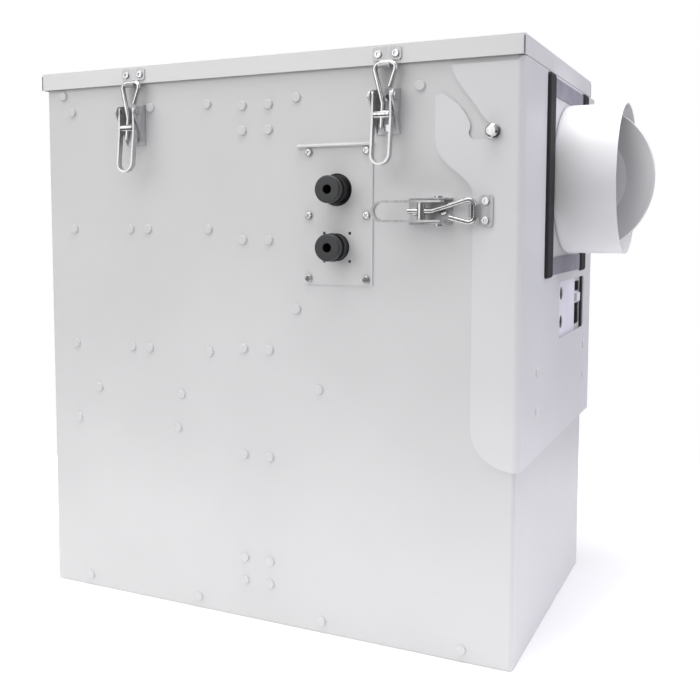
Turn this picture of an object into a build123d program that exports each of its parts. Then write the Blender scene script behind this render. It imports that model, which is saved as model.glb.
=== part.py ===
"""Sheet-metal ventilation filter unit: a box housing with a hinged lid, an end cover that
slides off over two pins, a duct spigot with a throttle ring, four over-centre latches,
two bayonet connectors and a radial fan behind a filter compartment.

Millimetres. The box has its own coordinates, with zero at the outer front left bottom
corner. The planes TOP, FRONT, BACK, LEFT and END carry them into the part's frame, whose
origin is the middle of the bounding box, at the base."""

from build123d import *
import os
from math import cos, hypot, radians, sin

# ---------------------------------------------------------------- driving dimensions
WIDTH = 556.0  # housing, along X
DEPTH = 330.0  # housing, along Y
WALL_TOP = 590.0  # top edge of the walls
HEIGHT = 600.0  # top of the lid
SHEET = 1.5
WALL_CORNER = 4.0  # outer radius of the upright corners
WALL_INNER_CORNER = 3.0  # of what nests inside the walls
RUN = 0.05  # radial clearance of a running fit
GAP = 0.3  # least gap between bodies

LID_OVERHANG = 4.0  # front, back and left
LID_OVERHANG_END = 3.4  # over the end cover
LID_SKIRT = 18.4

DUCT_Y = 196.0
DUCT_Z = 476.0
DUCT_RADIUS = 80.0
DUCT_RIM_X = 623.5
DUCT_ROOT_RADIUS = 5.0
SPINDLE_X = 581.3
SPINDLE_RADIUS = 2.5
BLADE_RADIUS = 77.0
BLADE_HOLE = 47.0
BLADE_THICK = 3.0
BLADE_ANGLE = -19.0  # about the spindle, away from lying along the duct

COVER_GAP = 0.5  # between the housing wall and the cover's flanges
COVER_END_GAP = 2.5  # between the end wall and the cover's end face
COVER_BOTTOM = 194.0
COVER_TOP = 580.5
COVER_FLANGE_TOP = 576.6
COVER_BEND = 7.0
CHANNEL_DEPTH = 30.0  # the cable channel on the back wall
CHANNEL_LEFT = 436.0
PIN_X = 530.6
PIN_Z = 513.5

CHANNEL_BOTTOM = 195.0
CHANNEL_TOP = 577.0

PAN_EDGE = 22.0  # height of the floor's turned-up edge
MOUTH_ANGLE_FOOT = 577.0
MOUTH_ANGLE_REACH = 16.0  # in from the outer faces
DUCT_WALL_OPENING = (110.0, 282.0, 390.0, 562.0)
SERVICE_OPENING = (178.0, 305.0, 308.0, 360.0)

PARTITION_X = 277.5
PARTITION_FLANGE = (252.0, 303.0)
PARTITION_RISE = (24.0, 560.0)
PARTITION_HOLE = 62.0
FAN_Y = 165.0
FAN_Z = 150.0
INLET_RADIUS = 62.5
INLET_Z = 512.0

RIVET_HEAD = 5.0
RIVET_RISE = 2.2
RIVET_SHANK = 2.4
RIVET_HOLE = 2.5
RAIL_LEVELS = (289.0, 422.0, 555.0)
RAIL_RIVETS = (36.5, 116.0, 140.0, 219.0)
PARTITION_RIVETS = (262.0, 293.0)
PARTITION_LEVELS = (41.5, 66.7, 180.5, 295.5, 411.0, 525.0, 551.0)
BASE_RIVETS = (50.4, 202.0, 354.0, 505.4)
BASE_LEVEL = 12.0

LATCH_PIVOT = 16.0  # pivot height above the mounting face
LATCH_TRUNNION = 17.4  # from the pivot back to the trunnion
LATCH_REACH = 32.4  # from the pivot forward to the crossbar
LATCH_CROSSBAR = 9.0  # crossbar height above the mounting face
LATCH_HALF = 10.3  # outer half width of the lever
LATCH_STRIP = 2.0
LATCH_TAIL = 65.5
LATCH_WIRE = 2.5
LATCH_PIN = 2.0
LATCH_BASE_HALF = 12.5
HOOK_RADIUS = 5.3  # middle of the hook's sheet

CONNECTOR_X = 371.6
UPPER_CONNECTOR_Z = 461.9
LOWER_CONNECTOR_Z = 404.5
CONNECTOR_RISE = 25.0

HINGE_AXIS_Y = DEPTH + 8.0
HINGE_AXIS_Z = 580.0
HINGE_CENTRES = (120.0, 400.0)

# ---------------------------------------------------------------- derived places
blade_tip = SPINDLE_X + BLADE_RADIUS * cos(radians(BLADE_ANGLE)) + BLADE_THICK / 2 * abs(
    sin(radians(BLADE_ANGLE))
)
rear_latch_tip = DEPTH + CHANNEL_DEPTH + 24.74
ORIGIN_X = (blade_tip - LID_OVERHANG) / 2
ORIGIN_Y = (rear_latch_tip - CONNECTOR_RISE) / 2

TOP = Plane(origin=(-ORIGIN_X, -ORIGIN_Y, 0))
FRONT = Plane(origin=(-ORIGIN_X, -ORIGIN_Y, 0), x_dir=(1, 0, 0), z_dir=(0, -1, 0))
BACK = Plane(origin=(-ORIGIN_X, DEPTH - ORIGIN_Y, 0), x_dir=(-1, 0, 0), z_dir=(0, 1, 0))
LEFT = Plane(origin=(-ORIGIN_X, -ORIGIN_Y, 0), x_dir=(0, -1, 0), z_dir=(-1, 0, 0))
END = Plane(origin=(WIDTH - ORIGIN_X, -ORIGIN_Y, 0), x_dir=(0, 1, 0), z_dir=(1, 0, 0))
COVER_MIDDLE = Plane(origin=(0, (DEPTH + CHANNEL_DEPTH) / 2 - ORIGIN_Y, 0), z_dir=(0, 1, 0))

FRONT_RIVETS = (
    [(x, z) for z in RAIL_LEVELS[:2] for x in RAIL_RIVETS]
    + [(36.5, 555.0), (145.5, 555.0), (219.0, 555.0), (24.0, 574.0)]
    + [(x, z) for x in PARTITION_RIVETS for z in PARTITION_LEVELS]
    + [(x, BASE_LEVEL) for x in BASE_RIVETS]
    + [(68.0, 239.5), (182.0, 239.5), (37.7, 201.3), (177.0, 201.3)]
    + [(325.5, 556.0), (325.5, 340.0), (351.0, 257.6), (458.5, 559.5)]
)
BACK_RIVETS = (
    [(x, z) for z in RAIL_LEVELS[:2] for x in RAIL_RIVETS]
    + [(36.5, 555.0), (219.0, 555.0)]
    + [(x, z) for x in PARTITION_RIVETS for z in PARTITION_LEVELS]
    + [(x, BASE_LEVEL) for x in BASE_RIVETS]
)


# ---------------------------------------------------------------- helpers
def rectangle(x0, x1, y0, y1, mode=Mode.ADD):
    """A rectangle between two corners, in the open sketch."""
    with Locations(((x0 + x1) / 2, (y0 + y1) / 2)):
        Rectangle(x1 - x0, y1 - y0, mode=mode)


def rounded(x0, x1, y0, y1, radius, mode=Mode.ADD):
    """A rectangle with round corners between two corners, in the open sketch."""
    with Locations(((x0 + x1) / 2, (y0 + y1) / 2)):
        RectangleRounded(x1 - x0, y1 - y0, radius, mode=mode)


def inset(limits, by):
    """Rectangle limits (x0, x1, y0, y1) moved inward."""
    x0, x1, y0, y1 = limits
    return (x0 + by, x1 - by, y0 + by, y1 - by)


def discs(points, radius, mode=Mode.ADD):
    """Equal discs at several points, in the open sketch."""
    with Locations(*points):
        Circle(radius, mode=mode)


def save(name, part):
    """Label a finished sub-part and write its STEP file."""
    part.label = name
    export_step(part, f"parts/{name}.step")


def turned_points(points):
    """Wall points as the back plane sees them, its own x pointing the other way."""
    return [(-x, z) for x, z in points]


def drill_front(points, radius, depth=2 * SHEET):
    """Round holes through what lies at the front wall, in the open part."""
    with BuildSketch(FRONT) as holes:
        discs(points, radius)
    extrude(holes.sketch, amount=depth, both=True, mode=Mode.SUBTRACT)


def drill_back(points, radius, depth=2 * SHEET):
    """Round holes through what lies at the back wall, in the open part."""
    with BuildSketch(BACK) as holes:
        discs(turned_points(points), radius)
    extrude(holes.sketch, amount=depth, both=True, mode=Mode.SUBTRACT)


def ring(plane, outer, inner, amount):
    """A square-cornered frame from two (x0, x1, y0, y1) limits, in the open part."""
    with BuildSketch(plane) as frame:
        rectangle(*outer)
        rectangle(*inner, mode=Mode.SUBTRACT)
    extrude(frame.sketch, amount=amount)


def bar(plane, limits, amount, mode=Mode.ADD):
    """One straight bar from (x0, x1, y0, y1) limits, in the open part."""
    with BuildSketch(plane) as section:
        rectangle(*limits)
    extrude(section.sketch, amount=amount, mode=mode)


def cylinder(plane, centre, radius, amount, hole=0, mode=Mode.ADD):
    """A round bar or tube standing on a plane, in the open part."""
    with BuildSketch(plane) as section:
        discs([centre], radius)
        if hole:
            discs([centre], hole, mode=Mode.SUBTRACT)
    extrude(section.sketch, amount=amount, mode=mode)


def rivets(plane, points, head, rise, shank, depth):
    """Domed rivets on one face: heads outside, shanks through the sheet."""
    with BuildPart(mode=Mode.PRIVATE) as set_of_rivets:
        with BuildSketch(plane):
            discs(points, head)
        extrude(amount=rise)
        crowns = [face for face in set_of_rivets.faces() if on_height(face, plane, rise)]
        fillet([edge for crown in crowns for edge in crown.edges()], rise * 0.45)
        with BuildSketch(plane):
            discs(points, shank)
        extrude(amount=-depth)
    return set_of_rivets.part


def on_height(face, plane, height):
    """True where a face lies at a height above a plane."""
    return abs((face.center() - plane.origin).dot(plane.z_dir) - height) < 0.01


# ---------------------------------------------------------------- housing
WALLS = (0.0, WIDTH, 0.0, DEPTH)


def housing_wrap():
    """The four walls, bent from one sheet, with their openings and rivet holes."""
    with BuildPart() as walls:
        with BuildSketch(TOP):
            rounded(*WALLS, WALL_CORNER)
            rounded(*inset(WALLS, SHEET), WALL_CORNER - SHEET, Mode.SUBTRACT)
        extrude(amount=WALL_TOP)
        drill_front(FRONT_RIVETS, RIVET_HOLE)
        drill_back(BACK_RIVETS, RIVET_HOLE)
        drill_front([(CONNECTOR_X, UPPER_CONNECTOR_Z)], PLATE_UPPER_HOLE)
        drill_front([(CONNECTOR_X, LOWER_CONNECTOR_Z)], PLATE_LOWER_HOLE)
        drill_front(PLATE_SCREWS, SCREW_SHANK)
        drill_front(FLANGE_HOLES, FLANGE_HOLE)
        with BuildSketch(LEFT):
            discs([(-DEPTH / 2, INLET_Z)], INLET_RADIUS)
        extrude(amount=2 * SHEET, both=True, mode=Mode.SUBTRACT)
        with BuildSketch(END):
            rounded(*DUCT_WALL_OPENING, 12)
            rounded(*SERVICE_OPENING, 4)
        extrude(amount=2 * SHEET, both=True, mode=Mode.SUBTRACT)
    return walls.part


def base_pan():
    """The floor with its turned-up edge."""
    with BuildPart() as pan:
        with BuildSketch(TOP):
            rounded(*inset(WALLS, SHEET), WALL_INNER_CORNER)
        extrude(amount=PAN_EDGE)
        with BuildSketch(TOP.offset(SHEET)):
            rounded(*inset(WALLS, 2 * SHEET), WALL_INNER_CORNER - 1)
        extrude(amount=PAN_EDGE, mode=Mode.SUBTRACT)
        drill_front([(x, BASE_LEVEL) for x in BASE_RIVETS], RIVET_HOLE, 3 * SHEET)
        drill_back([(x, BASE_LEVEL) for x in BASE_RIVETS], RIVET_HOLE, 3 * SHEET)
    return pan.part


def top_frame():
    """The stiffening angle round the mouth, on which the lid's gasket presses."""
    with BuildPart() as angle:
        with BuildSketch(TOP.offset(MOUTH_ANGLE_FOOT)):
            rounded(*inset(WALLS, SHEET), WALL_INNER_CORNER)
            rounded(*inset(WALLS, 2 * SHEET), WALL_INNER_CORNER - 1, Mode.SUBTRACT)
        extrude(amount=WALL_TOP - MOUTH_ANGLE_FOOT)
        with BuildSketch(TOP.offset(WALL_TOP - SHEET)):
            rounded(*inset(WALLS, SHEET), WALL_INNER_CORNER)
            rounded(*inset(WALLS, MOUTH_ANGLE_REACH), 3, Mode.SUBTRACT)
        extrude(amount=SHEET)
    return angle.part


def partition():
    """The double web between filters and fan, with flanges on both long walls."""
    low, high = PARTITION_RISE
    with BuildPart() as wall:
        with BuildSketch(TOP.offset(low)):
            rectangle(PARTITION_X - SHEET, PARTITION_X + SHEET, SHEET, DEPTH - SHEET)
            rectangle(*PARTITION_FLANGE, SHEET, 2 * SHEET)
            rectangle(*PARTITION_FLANGE, DEPTH - 2 * SHEET, DEPTH - SHEET)
        extrude(amount=high - low)
        with BuildSketch(END.offset(PARTITION_X - WIDTH)):
            discs([(FAN_Y, FAN_Z)], PARTITION_HOLE)
        extrude(amount=2 * SHEET, both=True, mode=Mode.SUBTRACT)
        points = [(x, z) for x in PARTITION_RIVETS for z in PARTITION_LEVELS]
        drill_front(points, RIVET_HOLE, 3 * SHEET)
        drill_back(points, RIVET_HOLE, 3 * SHEET)
    return wall.part


def filter_shelf(level, reach, left_angle):
    """An angle ring on all sides of the filter compartment that carries a cassette."""
    foot = 16.0
    high = level + foot / 2
    web_face = PARTITION_X - SHEET
    left = WALL_CORNER + 1
    right = PARTITION_FLANGE[0] - 1
    front = WALL_CORNER + 1
    back = DEPTH - WALL_CORNER - 1
    inside = (SHEET, web_face, SHEET, DEPTH - SHEET)
    with BuildPart() as shelf:
        with BuildSketch(TOP.offset(high - SHEET)):
            rectangle(left, right, SHEET, DEPTH - SHEET)
            rectangle(SHEET, web_face, front, back)
            rectangle(*inset(inside, reach), Mode.SUBTRACT)
        extrude(amount=SHEET)
        with BuildSketch(TOP.offset(high - foot)):
            rectangle(left, right, SHEET, 2 * SHEET)
            rectangle(left, right, DEPTH - 2 * SHEET, DEPTH - SHEET)
            rectangle(web_face - SHEET, web_face, front, back)
            if left_angle:
                rectangle(SHEET, 2 * SHEET, front, back)
        extrude(amount=foot)
        for drill in (drill_front, drill_back):
            drill([(x, level) for x in RAIL_RIVETS], RIVET_HOLE, 3 * SHEET)
    return shelf.part


def clamp_rails():
    """Two flat rails under the mouth, one on each long wall."""
    with BuildPart() as rails:
        bar(FRONT.offset(-SHEET), (8, 250, 548, 562), -SHEET)
        bar(BACK.offset(-SHEET), (-250, -8, 548, 562), -SHEET)
        drill_front([(x, RAIL_LEVELS[2]) for x in (36.5, 145.5, 219.0)], RIVET_HOLE, 3 * SHEET)
        drill_back([(x, RAIL_LEVELS[2]) for x in (36.5, 219.0)], RIVET_HOLE, 3 * SHEET)
    return rails.part


MAIN_FILTER = (17.0, 261.0, 17.0, 313.0)
PREFILTER = (6.0, 270.0, 6.0, 324.0)
FILTER_RIM = 12.0


def cassette_frame(limits, low, high):
    """A filter cassette's four-sided frame."""
    with BuildPart() as frame:
        ring(TOP.offset(low), limits, inset(limits, FILTER_RIM), high - low)
    return frame.part


def pleats(limits, low, high, pitch):
    """A folded filter medium, as one zigzag sheet across the cassette."""
    x0, x1, y0, y1 = inset(limits, FILTER_RIM)
    count = round((x1 - x0) / pitch)
    step = (x1 - x0) / count
    sheet = 3.0
    zigzag = [(x0 + i * step / 2, low if i % 2 == 0 else high - sheet) for i in range(2 * count + 1)]
    top = [(x, z + sheet) for x, z in reversed(zigzag)]
    with BuildPart() as medium:
        with BuildSketch(FRONT.offset(-y0)):
            with BuildLine():
                Polyline(*zigzag, *top, close=True)
            make_face()
        extrude(amount=-(y1 - y0))
    return medium.part


def mat(limits, low, high):
    """A flat filter mat inside its frame."""
    with BuildPart() as block:
        bar(TOP.offset(low), inset(limits, FILTER_RIM), high - low)
    return block.part


# ---------------------------------------------------------------- fan
def fan_nozzle():
    """The bell mouth that leads the air from the partition's hole into the impeller."""
    axis_plane = Plane(
        origin=(PARTITION_X + SHEET - ORIGIN_X, FAN_Y - ORIGIN_Y, FAN_Z), x_dir=(1, 0, 0), z_dir=(0, -1, 0)
    )
    with BuildPart() as nozzle:
        with BuildSketch(axis_plane):
            with BuildLine():
                Line((0, 76), (0, 64))
                ThreePointArc((0, 64), (4.7, 54.7), (14, 50))
                Line((14, 50), (19, 50))
                Line((19, 50), (19, 51.5))
                Line((19, 51.5), (14, 51.5))
                ThreePointArc((14, 51.5), (5.9, 55.9), (1.5, 64))
                Line((1.5, 64), (1.5, 76))
                Line((1.5, 76), (0, 76))
            make_face()
        revolve(axis=Axis(axis_plane.origin, (1, 0, 0)))
    return nozzle.part


def fan_impeller():
    """A backward-curved radial impeller that turns about X."""
    face = END.offset(PARTITION_X + 22 - WIDTH)
    with BuildPart() as wheel:
        cylinder(face.offset(44), (FAN_Y, FAN_Z), 92, 2)
        cylinder(face.offset(46), (FAN_Y, FAN_Z), 22, 6)
        cylinder(face.offset(30), (FAN_Y, FAN_Z), 16, 14)
        with BuildSketch(face):
            discs([(FAN_Y, FAN_Z)], 92)
            discs([(FAN_Y, FAN_Z)], 56, mode=Mode.SUBTRACT)
        extrude(amount=2)
        with BuildSketch(face.offset(2)):
            with Locations((FAN_Y, FAN_Z)):
                with PolarLocations(74, 7):
                    Rectangle(42, 2, rotation=38)
        extrude(amount=42)
        with BuildSketch(face.offset(52)):
            discs([(FAN_Y, FAN_Z)], 5 + RUN)
        extrude(amount=-30, mode=Mode.SUBTRACT)
    return wheel.part


def fan_motor():
    """The motor can, with a stub shaft in the impeller's hub."""
    face = END.offset(PARTITION_X + 76 - WIDTH)
    with BuildPart() as can:
        cylinder(face, (FAN_Y, FAN_Z), 44, 66)
        fillet([edge for end in can.faces() if on_height(end, face, 66) for edge in end.edges()], 5)
        cylinder(face, (FAN_Y, FAN_Z), 5, -30)
    return can.part


def motor_bracket():
    """The upright plate behind the motor, with a foot on the floor and a brace."""
    back = PARTITION_X + 142
    with BuildPart() as bracket:
        bar(END.offset(back - WIDTH), (FAN_Y - 60, FAN_Y + 60, SHEET, FAN_Z + 55), 2)
        bar(TOP.offset(SHEET), (back, back + 40, FAN_Y - 60, FAN_Y + 60), 2)
        for y in (FAN_Y - 60, FAN_Y + 58):
            with BuildSketch(FRONT.offset(-y)):
                Polygon((back, SHEET), (back + 40, SHEET), (back, FAN_Z + 20), align=None)
            extrude(amount=-2)
    return bracket.part


# ---------------------------------------------------------------- connection plate
PLATE_UPPER_HOLE = 16.4
PLATE_LOWER_HOLE = 13.9
SCREW_SHANK = 1.9
PLATE_LIMITS = (334.0, 410.5, 366.2, 508.0)
PLATE_SCREWS = [(x, z) for x in (340.5, 404.0) for z in (372.7, 436.3, 500.0)]
FLANGE_HOLE = 1.6
FLANGE_HOLES = [(x, z) for x in (357.7, 385.8) for z in (418.6, 390.3)]


def connection_plate():
    """The plate round both connectors, with a drip lip along its top."""
    x0, x1, _, z1 = PLATE_LIMITS
    with BuildPart() as plate:
        bar(FRONT, PLATE_LIMITS, SHEET)
        with BuildSketch(LEFT.offset(-(x0 - 7))):
            Polygon((0, z1 - SHEET), (4.5, z1 - 3), (4.5, z1 - 1.5), (0, z1 + 0.4), align=None)
        extrude(amount=-(x1 - x0 + 7.5))
        drill_front([(CONNECTOR_X, UPPER_CONNECTOR_Z)], PLATE_UPPER_HOLE)
        drill_front([(CONNECTOR_X, LOWER_CONNECTOR_Z)], PLATE_LOWER_HOLE)
        drill_front(PLATE_SCREWS, SCREW_SHANK)
        drill_front(FLANGE_HOLES, FLANGE_HOLE)
    return plate.part


def plate_screws():
    """Six pan-head screws with cross recesses."""
    with BuildPart() as screws:
        with BuildSketch(FRONT.offset(SHEET)):
            discs(PLATE_SCREWS, 4)
        extrude(amount=2.4)
        crowns = [f for f in screws.faces() if on_height(f, FRONT, SHEET + 2.4)]
        fillet([edge for crown in crowns for edge in crown.edges()], 1.2)
        with BuildSketch(FRONT.offset(SHEET)):
            discs(PLATE_SCREWS, SCREW_SHANK - 0.05)
        extrude(amount=-6)
        with BuildSketch(FRONT.offset(SHEET + 1.2)):
            with Locations(*PLATE_SCREWS):
                Rectangle(4.2, 0.9, rotation=45)
                Rectangle(4.2, 0.9, rotation=135)
        extrude(amount=3, mode=Mode.SUBTRACT)
    return screws.part


def connector(level, collar):
    """A round panel connector: collar inside the wall, barrel and a neck for its cap."""
    centre = (CONNECTOR_X, level)
    with BuildPart() as body:
        cylinder(FRONT.offset(-8), centre, collar, 8 - SHEET - GAP, hole=4.7)
        cylinder(FRONT.offset(-8), centre, 12.5, 26, hole=4.7)
        cylinder(FRONT.offset(SHEET + 0.2), centre, 13, 10, hole=4.7)
        cylinder(FRONT.offset(17), centre, 9, 6.5, hole=4.7)
        cylinder(FRONT.offset(-8), centre, 5, 14)
        with BuildSketch(FRONT.offset(18)):
            with Locations(centre):
                with PolarLocations(0, 4, start_angle=45):
                    with Locations((12.6, 0)):
                        Rectangle(2.4, 3)
        extrude(amount=-6, mode=Mode.SUBTRACT)
    return body.part


def connector_cap(level):
    """The bayonet cap, a knurled ring that turns on the connector's neck."""
    centre = (CONNECTOR_X, level)
    with BuildPart() as cap:
        cylinder(FRONT.offset(18 + GAP), centre, 13.7, CONNECTOR_RISE - 18 - GAP)
        front = [f for f in cap.faces() if on_height(f, FRONT, CONNECTOR_RISE)]
        fillet([edge for face in front for edge in face.edges()], 1.6)
        cylinder(FRONT.offset(18), centre, 9 + RUN, 5.8, mode=Mode.SUBTRACT)
        cylinder(FRONT.offset(18), centre, 4.7, 10, mode=Mode.SUBTRACT)
        with BuildSketch(FRONT.offset(18)):
            with Locations(centre):
                with PolarLocations(13.9, 24):
                    Circle(0.6)
        extrude(amount=5, mode=Mode.SUBTRACT)
    return cap.part


# ---------------------------------------------------------------- fixed fasteners
def wall_rivets():
    """The domed rivets of the front and back walls."""
    with BuildPart() as all_rivets:
        add(rivets(FRONT, FRONT_RIVETS, RIVET_HEAD, RIVET_RISE, RIVET_SHANK, 2 * SHEET))
        add(rivets(BACK, turned_points(BACK_RIVETS), RIVET_HEAD, RIVET_RISE, RIVET_SHANK, 2 * SHEET))
    return all_rivets.part


def cover_pins():
    """The two headed pins that the end cover's slots hang on."""
    channel_face = BACK.offset(CHANNEL_DEPTH)
    with BuildPart() as pins:
        for face, x in ((FRONT, PIN_X), (channel_face, -PIN_X)):
            cylinder(face, (x, PIN_Z), 2.5, 5)
            cylinder(face.offset(2.6), (x, PIN_Z), 7, 1.4)
            with BuildSketch(face.offset(4)):
                with Locations((x, PIN_Z)):
                    RegularPolygon(6.2, 12)
            extrude(amount=7)
            crown = [f for f in pins.faces() if on_height(f, face, 11)]
            chamfer([edge for top in crown for edge in top.edges()], 1.8)
    return pins.part


def cable_channel():
    """The deep channel on the back wall that keeps the cables behind the end cover."""
    back = DEPTH + CHANNEL_DEPTH
    spare = DEPTH - 10  # the section runs on into the housing, and is cut off at the wall
    foot = CHANNEL_LEFT - 12
    with BuildPart() as channel:
        with BuildSketch(TOP.offset(CHANNEL_BOTTOM)):
            rounded(CHANNEL_LEFT, WIDTH, spare, back, WALL_CORNER)
            rounded(CHANNEL_LEFT + SHEET, WIDTH - SHEET, spare, back - SHEET, 2, Mode.SUBTRACT)
            rectangle(foot, WIDTH, spare, DEPTH, Mode.SUBTRACT)
            rectangle(foot, CHANNEL_LEFT + SHEET, DEPTH, DEPTH + SHEET)
        extrude(amount=CHANNEL_TOP - CHANNEL_BOTTOM)
        bar(TOP.offset(CHANNEL_TOP - SHEET), (CHANNEL_LEFT, WIDTH - 3, DEPTH, back - 3), SHEET)
    return channel.part


# ---------------------------------------------------------------- end wall
def window_plate():
    """The service plate on the end wall, its far edge bent into the housing."""
    with BuildPart() as plate:
        bar(END, (158, 268, 298, 370), 1.2)
        bar(END.offset(1.2), (266.8, 268, 308.5, 359.5), -9)
        with BuildSketch(END):
            discs([(192, 319), (192, 351)], 7.5)
        extrude(amount=3, both=True, mode=Mode.SUBTRACT)
    return plate.part


def window_catch():
    """The small snap block behind the service opening."""
    with BuildPart() as catch:
        bar(END.offset(-SHEET), (283, 320, 333, 347), -4)
        bar(END.offset(-SHEET), (283, 303, 335, 345), 3)
    return catch.part


def window_seal():
    """The rubber strip at the service opening's far edge."""
    with BuildPart() as seal:
        bar(END, (305, 311, 303, 365), 2)
    return seal.part


# ---------------------------------------------------------------- lid and hinges
def lid_skin():
    """The lid, a shallow tray upside down over the mouth."""
    outer = (-LID_OVERHANG, WIDTH + LID_OVERHANG_END, -LID_OVERHANG, DEPTH + LID_OVERHANG)
    with BuildPart() as lid:
        with BuildSketch(TOP.offset(HEIGHT - LID_SKIRT)):
            rounded(*outer, 2)
        extrude(amount=LID_SKIRT)
        with BuildSketch(TOP.offset(HEIGHT - LID_SKIRT)):
            rounded(*inset(outer, SHEET), 0.5)
        extrude(amount=LID_SKIRT - SHEET, mode=Mode.SUBTRACT)
    return lid.part


def lid_gasket():
    """The rubber ring under the lid that seals on the walls' top edge."""
    with BuildPart() as gasket:
        with BuildSketch(TOP.offset(WALL_TOP + GAP)):
            rounded(-2, WIDTH + 1.4, -2, DEPTH + 2, 2)
            rounded(8, WIDTH - 8, 8, DEPTH - 8, 2, Mode.SUBTRACT)
        extrude(amount=HEIGHT - SHEET - WALL_TOP - GAP)
    return gasket.part


HINGE_WIDTH = 40.0
KNUCKLE_RADIUS = 3.5
HINGE_PIN = 1.75
LEAF = 2.0


def hinge_profile_plane(x):
    """A plane across the hinge axis at a place along it, its own x pointing back."""
    origin = (x - ORIGIN_X, HINGE_AXIS_Y - ORIGIN_Y, HINGE_AXIS_Z)
    return Plane(origin=origin, x_dir=(0, 1, 0), z_dir=(1, 0, 0))


def hinge_box_leaves():
    """The housing's leaves, with the two outer knuckles of each hinge."""
    foot = DEPTH - HINGE_AXIS_Y
    web = [(foot, -8), (foot, -24), (foot + LEAF, -24), (3.2, -1.4), (-3.2, -1.4)]
    half = HINGE_WIDTH / 2
    knuckle = HINGE_WIDTH / 4 - GAP / 2
    with BuildPart() as leaves:
        for centre in HINGE_CENTRES:
            bar(BACK, (-centre - half, -centre + half, 540, 572), LEAF)
            for x in (centre - half, centre + half - knuckle):
                with BuildSketch(hinge_profile_plane(x)):
                    Circle(KNUCKLE_RADIUS)
                    Polygon(*web, align=None)
                    Circle(HINGE_PIN, mode=Mode.SUBTRACT)
                extrude(amount=knuckle)
        points = [(c + dx, 552) for c in HINGE_CENTRES for dx in (-12, 12)]
        add(rivets(BACK.offset(LEAF), turned_points(points), 3.5, 1.3, 1.5, LEAF - 0.5))
    return leaves.part


def hinge_lid_leaves():
    """The lid's leaves on its rear skirt, with the middle knuckle of each hinge."""
    knuckle = HINGE_WIDTH / 2 - GAP
    skirt = DEPTH + LID_OVERHANG - HINGE_AXIS_Y
    half = HINGE_WIDTH / 2
    with BuildPart() as leaves:
        for centre in HINGE_CENTRES:
            start = hinge_profile_plane(centre - knuckle / 2)
            with BuildSketch(start):
                rectangle(skirt, skirt + LEAF, 1.8, HEIGHT - 2 - HINGE_AXIS_Z)
                Circle(KNUCKLE_RADIUS)
                Circle(HINGE_PIN + RUN, mode=Mode.SUBTRACT)
            extrude(amount=knuckle)
            with BuildSketch(BACK.offset(LID_OVERHANG)):
                rectangle(-centre - half, -centre + half, HINGE_AXIS_Z + 4.5, HEIGHT - 2)
            extrude(amount=LEAF)
    return leaves.part


def hinge_pins():
    """One steel pin through each hinge."""
    with BuildPart() as pins:
        for centre in HINGE_CENTRES:
            with BuildSketch(hinge_profile_plane(centre - HINGE_WIDTH / 2 - 1)):
                Circle(HINGE_PIN)
            extrude(amount=HINGE_WIDTH + 2)
    return pins.part


# ---------------------------------------------------------------- end cover
def cover_outline():
    """The cover's edge on its front flange, with the hanging slot that leads in from above."""
    end = WIDTH + COVER_END_GAP + SHEET + 1
    slot_mouth = (489.6, COVER_FLANGE_TOP)
    with BuildLine() as edge:
        Line((end, COVER_BOTTOM), (end, COVER_TOP))
        Line((end, COVER_TOP), (556, COVER_TOP))
        Line((556, COVER_TOP), (553, COVER_FLANGE_TOP))
        Line((553, COVER_FLANGE_TOP), slot_mouth)
        Spline(slot_mouth, (503, 551.7), (514, 537.6), (520, 528.6))
        Line((520, 528.6), (526.6, 521.6))
        Line((526.6, 521.6), (PIN_X, PIN_Z + 7))
        ThreePointArc((PIN_X, PIN_Z + 7), (PIN_X + 7, PIN_Z), (PIN_X, PIN_Z - 7))
        Line((PIN_X, PIN_Z - 7), (514, PIN_Z - 7))
        ThreePointArc((514, PIN_Z - 7), (508.8, 508.9), (507.4, 514.5))
        ThreePointArc((507.4, 514.5), (508.7, 518.5), (508.1, 522.4))
        ThreePointArc((508.1, 522.4), (498, 538.1), (481, 550.2))
        Line((481, 550.2), (474.4, 549))
        Line((474.4, 549), (474.4, 512))
        Spline((474.4, 512), (486.3, 484.5), (500.2, 473.4), (512.3, 448), tangents=((0, -1), (0, -1)))
        Line((512.3, 448), (512.3, 236))
        Spline((512.3, 236), (525, 205.3), (556.5, COVER_BOTTOM), tangents=((0, -1), (1, 0)))
        Line((556.5, COVER_BOTTOM), (end, COVER_BOTTOM))
    return edge


SPIGOT_OPENING = (108.0, 284.0, 385.0, 567.0)
WINDOW = (168.0, 310.0, 303.0, 365.0)
COVER_RIVETS = [(64.5, 281.0), (64.5, 242.0), (314.0, 281.0), (314.0, 242.0)]


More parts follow.
